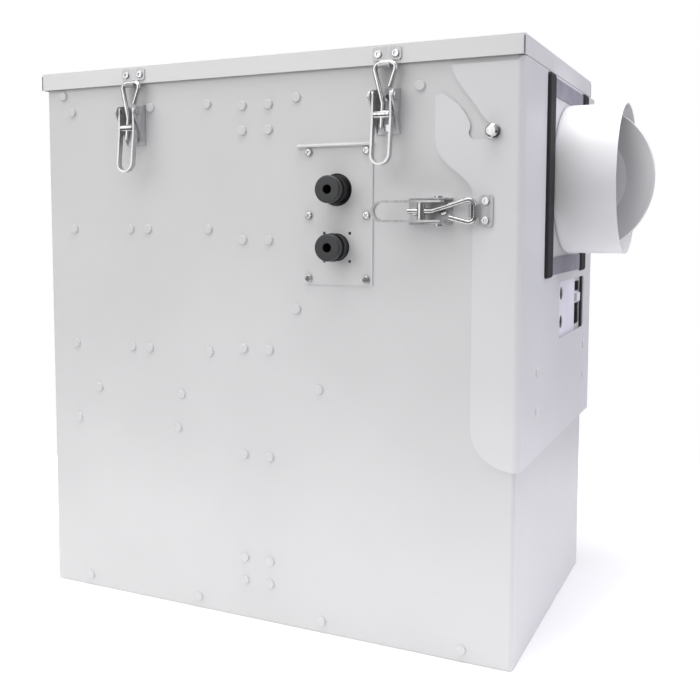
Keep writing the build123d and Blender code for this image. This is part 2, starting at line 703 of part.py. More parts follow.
def end_cover():
    """The U-shaped cover: one end face and two flanges with hanging slots."""
    face = WIDTH + COVER_END_GAP
    middle = (DEPTH + CHANNEL_DEPTH) / 2
    inner_bend = COVER_BEND - SHEET
    flange_end = 470
    outside = -COVER_GAP - SHEET
    bend_x = face - inner_bend
    bend_y = inner_bend - COVER_GAP
    with BuildPart() as cover:
        with BuildSketch(TOP.offset(COVER_BOTTOM)):
            with BuildLine():
                Polyline((flange_end, -COVER_GAP), (flange_end, outside), (bend_x, outside))
                RadiusArc((bend_x, outside), (face + SHEET, bend_y), -COVER_BEND)
                Polyline((face + SHEET, bend_y), (face + SHEET, middle), (face, middle), (face, bend_y))
                RadiusArc((face, bend_y), (bend_x, -COVER_GAP), inner_bend)
                Line((bend_x, -COVER_GAP), (flange_end, -COVER_GAP))
            make_face()
        extrude(amount=COVER_TOP - COVER_BOTTOM)
        outline = cover_outline()
        with BuildSketch(FRONT.offset(3)):
            with BuildLine():
                add(outline.line)
            make_face()
        extrude(amount=-(middle + 3), mode=Mode.INTERSECT)
        mirror(about=COVER_MIDDLE)
        with BuildSketch(END.offset(COVER_END_GAP)):
            rectangle(*SPIGOT_OPENING)
            rounded(*WINDOW, 4)
            discs(COVER_RIVETS, RIVET_HOLE)
        extrude(amount=2 * SHEET, both=True, mode=Mode.SUBTRACT)
    return cover.part


def spigot_plate():
    """The square plate that carries the duct, flush in the cover's opening."""
    rim = 6.0
    with BuildPart() as plate:
        bar(END.offset(COVER_END_GAP), inset(SPIGOT_OPENING, 0.1), SHEET)
        bar(END.offset(COVER_END_GAP), inset(SPIGOT_OPENING, -rim), -1)
        cylinder(END.offset(COVER_END_GAP - 2), (DUCT_Y, DUCT_Z), DUCT_RADIUS - 5, 6, mode=Mode.SUBTRACT)
    return plate.part


def duct_spigot():
    """The round duct collar with its rounded root and the holes for the spindle."""
    root = WIDTH + COVER_END_GAP + SHEET
    bore = DUCT_RADIUS - SHEET
    lip = DUCT_RADIUS - DUCT_ROOT_RADIUS
    bend = DUCT_ROOT_RADIUS - SHEET
    bevel = cos(radians(45))
    profile = Plane(origin=(-ORIGIN_X, DUCT_Y - ORIGIN_Y, DUCT_Z), x_dir=(1, 0, 0), z_dir=(0, -1, 0))
    with BuildPart() as spigot:
        with BuildSketch(profile):
            with BuildLine():
                Line((root, lip), (root + SHEET, lip))
                ThreePointArc(
                    (root + SHEET, lip),
                    (root + DUCT_ROOT_RADIUS - bend * bevel, lip + bend * bevel),
                    (root + DUCT_ROOT_RADIUS, bore),
                )
                Polyline(
                    (root + DUCT_ROOT_RADIUS, bore),
                    (DUCT_RIM_X, bore),
                    (DUCT_RIM_X, DUCT_RADIUS),
                    (root + DUCT_ROOT_RADIUS, DUCT_RADIUS),
                )
                ThreePointArc(
                    (root + DUCT_ROOT_RADIUS, DUCT_RADIUS),
                    (root + DUCT_ROOT_RADIUS * (1 - bevel), lip + DUCT_ROOT_RADIUS * bevel),
                    (root, lip),
                )
            make_face()
        revolve(axis=Axis(profile.origin, (1, 0, 0)))
        with BuildSketch(TOP.offset(DUCT_Z)):
            discs([(SPINDLE_X, DUCT_Y)], SPINDLE_RADIUS + RUN)
        extrude(amount=DUCT_RADIUS + 5, both=True, mode=Mode.SUBTRACT)
    return spigot.part


SEAL_SIDES = (90.0, 117.0, 275.0, 302.0)
SEAL_LEVELS = (374.5, 392.7, 558.4, 577.0)
CROSS_RISE = 1.2
STILE_RISE = 3.5
STILE_REACH = 2.0


def side_seals():
    """The two upright black seals beside the duct, with rounded backs and ends."""
    y0, y1, y2, y3 = SEAL_SIDES
    low = SEAL_LEVELS[0] - STILE_REACH
    high = SEAL_LEVELS[-1] + STILE_REACH
    face = END.offset(COVER_END_GAP + SHEET)
    with BuildPart() as seals:
        with BuildSketch(face):
            rounded(y0, y1 - GAP, low, high, 4)
            rounded(y2 + GAP, y3, low, high, 4)
        extrude(amount=STILE_RISE)
        crowns = [crown for crown in seals.faces() if on_height(crown, face, STILE_RISE)]
        fillet([edge for crown in crowns for edge in crown.edges()], 2.5)
    return seals.part


def cross_seals():
    """The two level grey seals above and below the duct, between the upright ones."""
    z0, z1, z2, z3 = SEAL_LEVELS
    with BuildPart() as seals:
        with BuildSketch(END.offset(COVER_END_GAP + SHEET)):
            rectangle(SEAL_SIDES[1], SEAL_SIDES[2], z0, z1)
            rectangle(SEAL_SIDES[1], SEAL_SIDES[2], z2, z3)
        extrude(amount=CROSS_RISE)
    return seals.part


def cover_rivets():
    """The four domed rivets on the cover's end face."""
    with BuildPart() as heads:
        face = END.offset(COVER_END_GAP + SHEET)
        add(rivets(face, COVER_RIVETS, RIVET_HEAD, RIVET_RISE, RIVET_SHANK, SHEET + 1))
    return heads.part


def blade_plane():
    """The throttle ring's own plane, through the spindle and turned out of the duct's line."""
    turn = radians(BLADE_ANGLE)
    return Plane(
        origin=(SPINDLE_X - ORIGIN_X, DUCT_Y - ORIGIN_Y, DUCT_Z),
        x_dir=(cos(turn), sin(turn), 0),
        z_dir=(sin(turn), -cos(turn), 0),
    )


def throttle_blade():
    """The throttle ring, with a tunnel for its spindle."""
    with BuildPart() as blade:
        with BuildSketch(blade_plane()):
            Circle(BLADE_RADIUS)
            Circle(BLADE_HOLE, mode=Mode.SUBTRACT)
        extrude(amount=BLADE_THICK / 2, both=True)
        for low in (BLADE_HOLE - 1, -BLADE_RADIUS + 3):
            cylinder(TOP.offset(DUCT_Z + low), (SPINDLE_X, DUCT_Y), 4.5, BLADE_RADIUS - BLADE_HOLE - 2)
        with BuildSketch(TOP.offset(DUCT_Z)):
            discs([(SPINDLE_X, DUCT_Y)], SPINDLE_RADIUS)
        extrude(amount=BLADE_RADIUS + 5, both=True, mode=Mode.SUBTRACT)
    return blade.part


def blade_spindle():
    """The upright spindle through duct and ring."""
    with BuildPart() as spindle:
        reach = DUCT_RADIUS - 0.1
        cylinder(TOP.offset(DUCT_Z - reach), (SPINDLE_X, DUCT_Y), SPINDLE_RADIUS, 2 * reach)
    return spindle.part


# ---------------------------------------------------------------- latches
# Each latch has its own plane: x along the pull, y across, z outward, zero at the pivot's foot.
def box_point(x, y, z):
    """A box coordinate point in the part's frame."""
    return (x - ORIGIN_X, y - ORIGIN_Y, z)


REAR_FACE = DEPTH + CHANNEL_DEPTH
LATCHES = {
    "lid_left": Plane(origin=box_point(126.5, 0, 549.5), x_dir=(0, 0, 1), z_dir=(0, -1, 0)),
    "lid_right": Plane(origin=box_point(426, 0, 549.5), x_dir=(0, 0, 1), z_dir=(0, -1, 0)),
    "cover_front": Plane(origin=box_point(483.4, 0, 440), x_dir=(1, 0, 0), z_dir=(0, -1, 0)),
    "cover_rear": Plane(origin=box_point(483.4, REAR_FACE, 440), x_dir=(1, 0, 0), z_dir=(0, 1, 0)),
}
LID_LATCHES = ("lid_left", "lid_right")
COVER_LATCHES = ("cover_front", "cover_rear")


def side_view(latch):
    """The latch's profile plane: x along the pull, y outward."""
    return Plane(origin=latch.origin, x_dir=latch.x_dir, z_dir=-latch.y_dir)


def latch_bases():
    """The four base channels with their ears."""
    pivot = (0, LATCH_PIVOT)
    back, front = -35.0, 9.0
    with BuildPart() as bases:
        for latch in LATCHES.values():
            side = side_view(latch)
            for start in (LATCH_BASE_HALF - 1.5, -LATCH_BASE_HALF):
                with BuildSketch(side.offset(start)):
                    Polygon((back, 0), (front, 0), (6, 16), (-3.15, 21.1), (back, SHEET), align=None)
                    discs([pivot], 6)
                    discs([pivot], LATCH_PIN, mode=Mode.SUBTRACT)
                extrude(amount=1.5)
            with BuildSketch(latch):
                rounded(back, front, -LATCH_BASE_HALF, LATCH_BASE_HALF, 1)
                discs([(-29, 0), (0, 0)], RIVET_HOLE, mode=Mode.SUBTRACT)
            extrude(amount=SHEET)
    return bases.part


def latch_fasteners():
    """The latches' pivot pins, in pairs that leave the middle free, and their base rivets."""
    with BuildPart() as fasteners:
        for latch in LATCHES.values():
            side = side_view(latch)
            for sense in (1, -1):
                cylinder(side.offset(sense * 8.1), (0, LATCH_PIVOT), LATCH_PIN, sense * 4.6)
                cylinder(side.offset(sense * LATCH_BASE_HALF), (0, LATCH_PIVOT), 4, sense * 1.5)
            add(rivets(latch.offset(SHEET), [(-29, 0), (0, 0)], 4, 1.4, RIVET_SHANK, SHEET))
    return fasteners.part


def latch_lever(latch):
    """The lever: one strip bent to a U, with the pivot's and the trunnion's holes."""
    side = side_view(latch)
    bend = LATCH_TAIL - LATCH_HALF
    inner = LATCH_HALF - LATCH_STRIP
    with BuildPart() as lever:
        with BuildSketch(latch.offset(10)):
            rectangle(-bend, 5, -LATCH_HALF, LATCH_HALF)
            discs([(-bend, 0)], LATCH_HALF)
            rectangle(-bend, 6, -inner, inner, Mode.SUBTRACT)
            discs([(-bend, 0)], inner, mode=Mode.SUBTRACT)
        extrude(amount=20)
        with BuildSketch(side) as profile:
            Polygon((5, 12.8), (5, 19.2), (-20, 19.3), (-66, 24.8), (-66, 18.3), (-20, 12.8), align=None)
            fillet(profile.vertices().group_by(Axis.X)[-1], 2.5)
        extrude(amount=LATCH_HALF + 1, both=True, mode=Mode.INTERSECT)
        with BuildSketch(side):
            discs([(0, LATCH_PIVOT), (-LATCH_TRUNNION, LATCH_PIVOT)], LATCH_PIN + RUN)
        extrude(amount=LATCH_HALF + 1, both=True, mode=Mode.SUBTRACT)
    return lever.part


def bail_plane(latch):
    """The bail's plane through trunnion and crossbar, with the trunnion at zero."""
    fall = LATCH_CROSSBAR - LATCH_PIVOT
    run = LATCH_REACH + LATCH_TRUNNION
    origin = latch.from_local_coords(Vector(-LATCH_TRUNNION, 0, LATCH_PIVOT))
    pull = (latch.x_dir * run + latch.z_dir * fall).normalized()
    return Plane(origin=origin, x_dir=pull, z_dir=pull.cross(latch.y_dir))


BAIL_LENGTH = hypot(LATCH_REACH + LATCH_TRUNNION, LATCH_PIVOT - LATCH_CROSSBAR)


def latch_bail(latch):
    """The bail: one wire through the trunnion, out round the crossbar and half way back."""
    plane = bail_plane(latch)
    half = LATCH_BASE_HALF
    with BuildPart() as bail:
        with BuildLine(plane) as path:
            Polyline((-13, 0), (10, 0), (BAIL_LENGTH, half), (BAIL_LENGTH, -half), (26.4, -6))
            fillet(bail_corners(path), 6)
        start = Plane(origin=path.line @ 0, z_dir=path.line % 0)
        with BuildSketch(start):
            Circle(LATCH_WIRE)
        sweep(path=path.line)
    return bail.part


def bail_corners(path):
    """The bends of the bail's wire: every corner but its two ends."""
    ends = (path.line @ 0, path.line @ 1)
    return [v for v in path.vertices() if all((v.center() - end).length > 0.01 for end in ends)]


def latch_trunnion(latch):
    """The cross pin that carries the bail between the lever's arms."""
    side = side_view(latch)
    centre = (-LATCH_TRUNNION, LATCH_PIVOT)
    with BuildPart() as trunnion:
        with BuildSketch(side):
            discs([centre], 4)
        extrude(amount=7.8, both=True)
        with BuildSketch(side):
            discs([centre], LATCH_PIN)
        extrude(amount=LATCH_HALF, both=True)
        plane = bail_plane(latch)
        with BuildSketch(Plane(origin=plane.origin, z_dir=plane.x_dir)):
            Circle(LATCH_WIRE)
        extrude(amount=6, both=True, mode=Mode.SUBTRACT)
    return trunnion.part


def strikes(names, seat):
    """The hooks that take the crossbars, each on its riveted plate."""
    with BuildPart() as hooks:
        for name in names:
            latch = LATCHES[name]
            side = side_view(latch)
            start = LATCH_REACH + 3
            end = LATCH_REACH + 16
            with BuildSketch(side):
                with BuildLine():
                    middle = seat + SHEET / 2
                    bottom = (LATCH_REACH + 1, LATCH_CROSSBAR + 1.4 - HOOK_RADIUS)
                    Line((end - 1, middle), (start + 1, middle))
                    Line((start + 1, middle), bottom)
                    CenterArc((LATCH_REACH + 1, LATCH_CROSSBAR + 1.4), HOOK_RADIUS, -90, -148)
                trace(line_width=SHEET)
            extrude(amount=6, both=True)
            with BuildSketch(latch.offset(seat)):
                rounded(start, end, -15, 15, 3)
                discs([(LATCH_REACH + 9, -9), (LATCH_REACH + 9, 9)], RIVET_HOLE - 0.4, mode=Mode.SUBTRACT)
            extrude(amount=SHEET)
    return hooks.part


def strike_rivets(names, seat):
    """The flat domed rivets of the strikes."""
    with BuildPart() as heads:
        for name in names:
            points = [(LATCH_REACH + 9, -9), (LATCH_REACH + 9, 9)]
            face = LATCHES[name].offset(seat + SHEET)
            add(rivets(face, points, 3.8, 1.4, 2, SHEET))
            with BuildSketch(face.offset(0.5)):
                discs(points, 1.7)
            extrude(amount=1, mode=Mode.SUBTRACT)
    return heads.part


# ---------------------------------------------------------------- build and write
os.makedirs("parts", exist_ok=True)

save("housing_wrap", housing_wrap())
save("base_pan", base_pan())
save("top_frame", top_frame())
save("partition", partition())
save("filter_shelf_lower", filter_shelf(RAIL_LEVELS[0], 24, left_angle=True))
save("filter_shelf_middle", filter_shelf(RAIL_LEVELS[1], 13, left_angle=False))
save("clamp_rails", clamp_rails())
save("main_filter_frame", cassette_frame(MAIN_FILTER, 297, 411))
save("main_filter_pleats", pleats(MAIN_FILTER, 299, 409, 20))
save("prefilter_frame", cassette_frame(PREFILTER, 430, 448))
save("prefilter_mat", mat(PREFILTER, 431, 446))

save("fan_nozzle", fan_nozzle())
save("fan_impeller", fan_impeller())
save("fan_motor", fan_motor())
save("motor_bracket", motor_bracket())

save("connection_plate", connection_plate())
save("plate_screws", plate_screws())
save("upper_connector", connector(UPPER_CONNECTOR_Z, 18))
save("lower_connector", connector(LOWER_CONNECTOR_Z, 18))
save("upper_cap", connector_cap(UPPER_CONNECTOR_Z))
save("lower_cap", connector_cap(LOWER_CONNECTOR_Z))

save("wall_rivets", wall_rivets())
save("cover_pins", cover_pins())
save("cable_channel", cable_channel())
save("window_plate", window_plate())
save("window_catch", window_catch())
save("window_seal", window_seal())

save("lid_skin", lid_skin())
save("lid_gasket", lid_gasket())
save("hinge_box_leaves", hinge_box_leaves())
save("hinge_lid_leaves", hinge_lid_leaves())
save("hinge_pins", hinge_pins())

save("end_cover", end_cover())
save("spigot_plate", spigot_plate())
save("duct_spigot", duct_spigot())
save("side_seals", side_seals())
save("cross_seals", cross_seals())
save("cover_rivets", cover_rivets())
save("throttle_blade", throttle_blade())
save("blade_spindle", blade_spindle())

save("latch_bases", latch_bases())
save("latch_fasteners", latch_fasteners())
save("lid_strikes", strikes(LID_LATCHES, LID_OVERHANG))
save("lid_strike_rivets", strike_rivets(LID_LATCHES, LID_OVERHANG))
save("cover_strikes", strikes(COVER_LATCHES, COVER_GAP + SHEET))
save("cover_strike_rivets", strike_rivets(COVER_LATCHES, COVER_GAP + SHEET))
for latch_name, latch_place in LATCHES.items():
    save(f"{latch_name}_lever", latch_lever(latch_place))
    save(f"{latch_name}_bail", latch_bail(latch_place))
    save(f"{latch_name}_trunnion", latch_trunnion(latch_place))
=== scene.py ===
"""Finish of a sheet-metal ventilation filter housing: paint, metals, rubber, filter media,
the small soft and moulded pieces, and a pale studio stage."""

from math import radians

import bpy
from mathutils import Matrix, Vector


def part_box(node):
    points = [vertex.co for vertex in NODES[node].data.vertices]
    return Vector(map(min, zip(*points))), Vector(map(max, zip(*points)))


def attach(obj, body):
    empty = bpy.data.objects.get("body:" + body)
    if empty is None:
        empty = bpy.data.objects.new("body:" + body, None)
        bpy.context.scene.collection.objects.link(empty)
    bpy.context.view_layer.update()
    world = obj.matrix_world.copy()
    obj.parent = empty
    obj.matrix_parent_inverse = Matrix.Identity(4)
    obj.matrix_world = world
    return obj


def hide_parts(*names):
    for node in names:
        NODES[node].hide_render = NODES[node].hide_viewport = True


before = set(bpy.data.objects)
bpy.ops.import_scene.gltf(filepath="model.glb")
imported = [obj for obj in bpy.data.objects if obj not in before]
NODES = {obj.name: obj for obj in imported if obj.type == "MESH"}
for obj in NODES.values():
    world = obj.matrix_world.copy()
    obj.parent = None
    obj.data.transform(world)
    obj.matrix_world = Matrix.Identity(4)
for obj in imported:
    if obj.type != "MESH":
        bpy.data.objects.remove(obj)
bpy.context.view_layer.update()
MM = 0.001

bl_info = {
    "name": "Filter Housing Finish",
    "version": (1, 0, 0),
    "blender": (4, 5, 0),
    "location": "View3D > Sidebar > Filter Housing",
    "description": "Finishes a ventilation filter housing and sets its stage",
    "category": "Object",
}


# ------------------------------------------------------------------ colours and nodes
def linear(hex_colour):
    """An sRGB hex value as linear red, green, blue and alpha."""
    parts = [int(hex_colour[i : i + 2], 16) / 255 for i in (1, 3, 5)]
    return (*[p / 12.92 if p <= 0.04045 else ((p + 0.055) / 1.055) ** 2.4 for p in parts], 1.0)


def add_node(tree, kind, links=None, stops=(), **settings):
    """One node with its settings, its colour stops, its input values and its links."""
    new = tree.nodes.new(kind)
    for name, value in settings.items():
        setattr(new, name, value)
    for index, (position, colour) in enumerate(stops):
        new.color_ramp.elements[index].position = position
        new.color_ramp.elements[index].color = colour
    for socket, source in (links or {}).items():
        if isinstance(source, bpy.types.NodeSocket):
            tree.links.new(source, new.inputs[socket])
        else:
            new.inputs[socket].default_value = source
    return new


def surface(name, roughness, metallic=0.0, ior=1.5):
    """A new material with its tree, shader and object coordinates."""
    made = bpy.data.materials.new(name)
    made.use_nodes = True
    tree = made.node_tree
    tree.nodes.clear()
    values = {"Roughness": roughness, "Metallic": metallic, "IOR": ior}
    shader = add_node(tree, "ShaderNodeBsdfPrincipled", values)
    add_node(tree, "ShaderNodeOutputMaterial", {"Surface": shader.outputs["BSDF"]})
    place = add_node(tree, "ShaderNodeTexCoord").outputs["Object"]
    return made, tree, shader, place


def lumps(size_mm, detail=3.0):
    """Noise settings for lumps of a real size in millimetres."""
    return {"Scale": 1 / (size_mm * MM), "Detail": detail}


def finish(tree, shader, tone, wear, grain, colours, roughness, relief, spread=(0.35, 0.65)):
    """Let three patterns drive colour, roughness and relief; relief is depth in mm and strength."""
    stops = list(zip(spread, map(linear, colours)))
    ramp = add_node(tree, "ShaderNodeValToRGB", {"Fac": tone}, stops)
    low, high = roughness
    band = add_node(tree, "ShaderNodeMapRange", {"Value": wear, "To Min": low, "To Max": high})
    depth, strength = relief
    depths = {"Height": grain, "Distance": depth * MM, "Strength": strength}
    bump = add_node(tree, "ShaderNodeBump", depths)
    tree.links.new(ramp.outputs["Color"], shader.inputs["Base Color"])
    tree.links.new(band.outputs["Result"], shader.inputs["Roughness"])
    tree.links.new(bump.outputs["Normal"], shader.inputs["Normal"])


# ------------------------------------------------------------------ materials
def powder_coat(name, low, high, roughness=0.48):
    """Polyester powder coat on steel sheet: satin, with soft clouding and a faint orange peel.

    The peel is drawn a little coarser than it is, so that it shows."""
    made, tree, shader, place = surface(name, roughness)
    clouds = add_node(tree, "ShaderNodeTexNoise", {"Vector": place, **lumps(160)}).outputs["Fac"]
    peel = add_node(tree, "ShaderNodeTexNoise", {"Vector": place, **lumps(2.2, 2.0)}).outputs["Fac"]
    band = (roughness - 0.05, roughness + 0.07)
    finish(tree, shader, clouds, clouds, peel, (low, high), band, (0.06, 0.25))
    return made


def galvanised_sheet():
    """Hot-dip galvanised sheet: grey zinc with a visible spangle, about 9 mm across."""
    made, tree, shader, place = surface("galvanised_sheet", 0.42, 0.85)
    cells = {"Vector": place, "Scale": 1 / (9 * MM)}
    spangle = add_node(tree, "ShaderNodeTexVoronoi", cells).outputs["Color"]
    grey = add_node(tree, "ShaderNodeRGBToBW", {"Color": spangle}).outputs["Val"]
    waves = add_node(tree, "ShaderNodeTexNoise", {"Vector": place, **lumps(14)}).outputs["Fac"]
    colours = ("#A4A7AA", "#C3C6C9")
    finish(tree, shader, grey, grey, waves, colours, (0.34, 0.52), (0.05, 0.2), (0.1, 0.9))
    return made


def bright_steel(name, low, high, roughness, metallic=1.0):
    """Rolled or turned steel, plain or zinc plated: a clear reflection, broken by rubbing marks.

    The marks are drawn coarser than they are, so that they show."""
    made, tree, shader, place = surface(name, roughness, metallic)
    along = add_node(tree, "ShaderNodeMapping", {"Vector": place, "Scale": (1, 1, 0.15)})
    rubbed = {"Vector": along.outputs["Vector"], **lumps(3, 4.0)}
    marks = add_node(tree, "ShaderNodeTexNoise", rubbed).outputs["Fac"]
    band = (roughness * 0.75, roughness * 1.35)
    finish(tree, shader, marks, marks, marks, (low, high), band, (0.02, 0.2))
    return made


def brushed_aluminium(name, low, high):
    """Anodised aluminium section: fine lines along its length, a soft wide highlight."""
    made, tree, shader, place = surface(name, 0.38, 0.9)
    along = add_node(tree, "ShaderNodeMapping", {"Vector": place, "Scale": (0.03, 0.03, 1)})
    brushed = {"Vector": along.outputs["Vector"], **lumps(1.5)}
    lines = add_node(tree, "ShaderNodeTexNoise", brushed).outputs["Fac"]
    finish(tree, shader, lines, lines, lines, (low, high), (0.3, 0.48), (0.02, 0.25))
    return made


def moulded_rubber(name, low, high):
    """EPDM section: matt and slightly dusty. Its moulded grain is drawn coarser, so that it shows."""
    made, tree, shader, place = surface(name, 0.75)
    grain = add_node(tree, "ShaderNodeTexNoise", {"Vector": place, **lumps(0.9, 4.0)}).outputs["Fac"]
    dust = add_node(tree, "ShaderNodeTexNoise", {"Vector": place, **lumps(25)}).outputs["Fac"]
    finish(tree, shader, dust, dust, grain, (low, high), (0.66, 0.85), (0.06, 0.4))
    return made


def moulded_polymer(name, low, high, roughness):
    """Glass-filled polyamide: an even colour. Its spark-eroded texture is drawn coarser than it is."""
    made, tree, shader, place = surface(name, roughness, ior=1.53)
    grain = add_node(tree, "ShaderNodeTexNoise", {"Vector": place, **lumps(0.8)}).outputs["Fac"]
    tone = add_node(tree, "ShaderNodeTexNoise", {"Vector": place, **lumps(30)}).outputs["Fac"]
    band = (roughness - 0.06, roughness + 0.08)
    finish(tree, shader, tone, grain, grain, (low, high), band, (0.04, 0.3))
    return made


def fibre_medium(name, low, high, fibre_mm, depth_mm):
    """Bonded filter fibre: crossing threads, drawn thicker than they are, and a soft face."""
    made, tree, shader, place = surface(name, 0.95)
    threads = []
    for stretch in ((1, 0.15, 1), (0.15, 1, 1)):
        turned = add_node(tree, "ShaderNodeMapping", {"Vector": place, "Scale": stretch})
        spun = {"Vector": turned.outputs["Vector"], **lumps(fibre_mm, 6.0)}
        threads.append(add_node(tree, "ShaderNodeTexNoise", spun).outputs["Fac"])
    both = {0: threads[0], 1: threads[1]}
    crossed = add_node(tree, "ShaderNodeMath", both, operation="MAXIMUM").outputs[0]
    finish(tree, shader, crossed, crossed, crossed, (low, high), (0.88, 1.0), (depth_mm, 0.6))
    shader.inputs["Sheen Weight"].default_value = 0.3
    return made


def studio_floor(colour):
    """A matt painted floor, very slightly uneven in tone."""
    made, tree, shader, place = surface("studio_floor", 0.9)
    patches = add_node(tree, "ShaderNodeTexNoise", {"Vector": place, **lumps(400)}).outputs["Fac"]
    dim = tuple(channel * 0.985 for channel in colour[:3])
    stops = [(0.0, (*dim, 1)), (1.0, (*colour[:3], 1))]
    ramp = add_node(tree, "ShaderNodeValToRGB", {"Fac": patches}, stops)
    tree.links.new(ramp.outputs["Color"], shader.inputs["Base Color"])
    return made


def dress(made, names):
    """Put one finish on several of the unit's own parts."""
    for name in names:
        for slot in NODES[name].material_slots:
            slot.material = made


def nodes_named(*starts):
    """The unit's parts whose names start with one of these words."""
    return [name for name in NODES if name.startswith(starts)]


# ------------------------------------------------------------------ modelling helpers
def begin(name):
    """Name the primitive just added."""
    piece = bpy.context.active_object
    piece.name = name
    piece.data.name = name
    return piece


def clear_selection():
    """Leave object mode with nothing selected."""
    if bpy.context.mode != "OBJECT":
        bpy.ops.object.mode_set(mode="OBJECT")
    bpy.ops.object.select_all(action="DESELECT")


def choose_faces(piece, test):
    """Select, in edit mode, only the faces that pass a test."""
    bpy.ops.object.mode_set(mode="EDIT")
    bpy.ops.mesh.select_mode(type="FACE")
    bpy.ops.mesh.select_all(action="DESELECT")
    bpy.ops.object.mode_set(mode="OBJECT")
    for face in piece.data.polygons:
        face.select = test(face)
    bpy.ops.object.mode_set(mode="EDIT")


def settle(piece, made, angle=35):
    """Finish a piece: place applied, normals outward, smooth by angle, one material."""
    if bpy.context.mode != "OBJECT":
        bpy.ops.object.mode_set(mode="OBJECT")
    bpy.ops.object.select_all(action="DESELECT")
    piece.select_set(True)
    bpy.context.view_layer.objects.active = piece
    bpy.ops.object.transform_apply(location=True, rotation=True, scale=True)
    for modifier in list(piece.modifiers):
        bpy.ops.object.modifier_apply(modifier=modifier.name)
    bpy.ops.object.mode_set(mode="EDIT")
    bpy.ops.mesh.select_all(action="SELECT")
    bpy.ops.mesh.remove_doubles(threshold=0.00001)
    bpy.ops.mesh.normals_make_consistent(inside=False)
    bpy.ops.object.mode_set(mode="OBJECT")
    bpy.ops.object.shade_smooth_by_angle(angle=radians(angle))
    piece.data.materials.clear()
    piece.data.materials.append(made)


def join_pieces(parts, name):
    """Join like pieces into one."""
    clear_selection()
    for part in parts:
        part.select_set(True)
    bpy.context.view_layer.objects.active = parts[0]
    bpy.ops.object.join()
    parts[0].name = name
    return parts[0]


# ------------------------------------------------------------------ settings
class HousingColours(bpy.types.PropertyGroup):
    """Colour of the stage."""

    floor: bpy.props.FloatVectorProperty(
        name="Floor",
        description="Colour of the studio floor",
        subtype="COLOR",
        size=4,
        default=linear("#FFFFFF"),
    )


class HousingSizes(bpy.types.PropertyGroup):
    """Sizes of the pieces that are added to the unit."""

    mat_pile: bpy.props.FloatProperty(
        name="Mat pile",
        description="Height of the tufts on the filter mat",
        default=1.6 * MM,
        unit="LENGTH",
    )
    seam_width: bpy.props.FloatProperty(
        name="Seam width",
        description="Width of the lid's corner seams",
        default=1.1 * MM,
        unit="LENGTH",
    )
    ring_thickness: bpy.props.FloatProperty(
        name="Ring thickness",
        description="Thickness of the connectors' sealing rings",
        default=1.6 * MM,
        unit="LENGTH",
    )


# ------------------------------------------------------------------ operators
class FILTERUNIT_OT_sheet_metal(bpy.types.Operator):
    """Paint the walls, lid, cover and duct and zinc the inner sheets"""

    bl_idname = "filterunit.sheet_metal"
    bl_label = "Finish sheet metal"

    def execute(self, context):
        walls = powder_coat("light_grey_powder_coat", "#D0D0D1", "#D4D4D5")
        lid = powder_coat("lid_powder_coat", "#DEDEDF", "#E2E2E2")
        cover = powder_coat("cover_powder_coat", "#D8D8DA", "#DCDCDE")
        duct = powder_coat("duct_powder_coat", "#EDEDEF", "#F2F2F3", 0.36)
        dress(walls, ["housing_wrap", "top_frame", "connection_plate", "wall_rivets"])
        dress(lid, ["lid_skin"])
        dress(cover, ["end_cover", "spigot_plate", "cover_rivets", "cable_channel"])
        dress(duct, ["duct_spigot"])
        inner = ("base_pan", "partition", "filter_shelf", "clamp", "fan_nozzle", "motor_bracket")
        dress(galvanised_sheet(), nodes_named(*inner))
        return {"FINISHED"}


class FILTERUNIT_OT_hardware(bpy.types.Operator):
    """Finish latches, pins, screws and hinges"""

    bl_idname = "filterunit.hardware"
    bl_label = "Finish hardware"

    def execute(self, context):
        plated = bright_steel("zinc_plated_strip", "#B2B2B4", "#C4C4C6", 0.42, 0.6)
        pressed = bright_steel("pressed_stainless_steel", "#B6B6B7", "#CACACA", 0.34, 0.8)
        turned = bright_steel("turned_stainless_steel", "#A6A6A6", "#C4C4C4", 0.16)
        drawn = bright_steel("drawn_steel_wire", "#B0B0AF", "#C6C6C5", 0.22)
        levers = [name for name in NODES if name.endswith("_lever")]
        bails = [name for name in NODES if name.endswith("_bail")]
        trunnions = [name for name in NODES if name.endswith("_trunnion")]
        dress(pressed, levers + nodes_named("hinge_"))
        dress(plated, ["latch_bases", "lid_strikes", "cover_strikes"])
        dress(drawn, bails)
        dress(turned, trunnions + ["latch_fasteners", "cover_pins", "plate_screws", "blade_spindle"])
        dress(turned, ["lid_strike_rivets", "cover_strike_rivets"])
        return {"FINISHED"}


class FILTERUNIT_OT_rubber_and_polymer(bpy.types.Operator):
    """Finish seals, connectors, service plate, fan and motor"""

    bl_idname = "filterunit.rubber_and_polymer"
    bl_label = "Finish rubber and polymer"

    def execute(self, context):
        black = moulded_rubber("black_rubber", "#19191A", "#232324")
        dress(black, ["lid_gasket", "side_seals", "window_seal"])
        # The cross seals' lavender mid grey is partly painted shade: it is the value their shaded
        # upper and lower faces show, darker than their own grey.
        dress(moulded_rubber("grey_rubber_and_painted_shade", "#8D8B95", "#9A98A2"), ["cross_seals"])
        body = moulded_polymer("connector_polyamide", "#1D1E20", "#252629", 0.42)
        dress(body, ["upper_connector", "lower_connector"])
        cap = moulded_polymer("cap_polyamide", "#242527", "#2E2F31", 0.38)
        dress(cap, ["upper_cap", "lower_cap"])
        white = moulded_polymer("white_service_plate", "#EEECF6", "#F4F3FA", 0.4)
        dress(white, ["window_plate", "window_catch"])
        dress(moulded_polymer("impeller_polyamide", "#26282B", "#303236", 0.45), ["fan_impeller"])
        dress(powder_coat("motor_enamel", "#3A3E44", "#454A50", 0.4), ["fan_motor"])
        dress(powder_coat("blade_powder_coat", "#DCDCDE", "#E2E2E4", 0.45), ["throttle_blade"])
        return {"FINISHED"}


